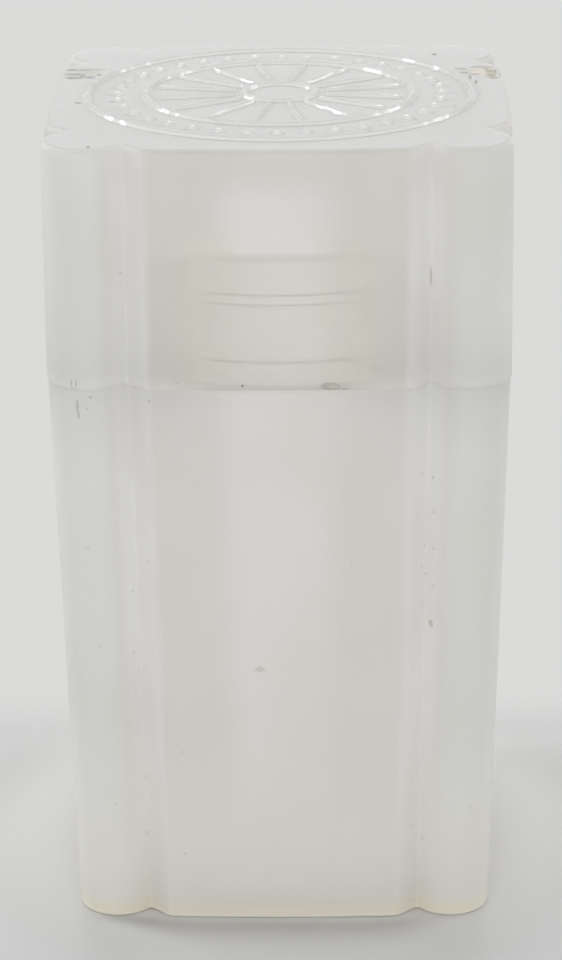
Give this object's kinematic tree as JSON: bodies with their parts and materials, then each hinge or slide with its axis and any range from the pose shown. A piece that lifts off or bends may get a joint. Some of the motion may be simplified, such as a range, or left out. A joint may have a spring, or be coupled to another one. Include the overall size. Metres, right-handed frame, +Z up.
{
  "type": "coin tube",
  "caption": "Square milky plastic tube with rounded corner columns, a round coin well, and a deep push-on lid over a round neck.",
  "frame": {"origin": "middle of the base, on the surface that the tube stands on", "axes": "+Z up along the well, out of the neck; -Y towards the side that the picture shows; +X to the right of it"},
  "size_m": [0.0462, 0.0462, 0.082],
  "materials": {
    "body_plastic": "milky natural plastic, satin outside, slightly see-through where the wall is thin",
    "lid_plastic": "milky natural plastic, satin sides and a glossy moulded top"
  },
  "bodies": {
    "tube": {"tube_body": "body_plastic"},
    "lid": {"push_on_lid": "lid_plastic"}
  },
  "joints": [
    {"name": "lid_lift", "type": "slide", "parent": "tube", "child": "lid", "axis": [0, 0, 1], "range_m": [0, 0.1]}
  ]
}
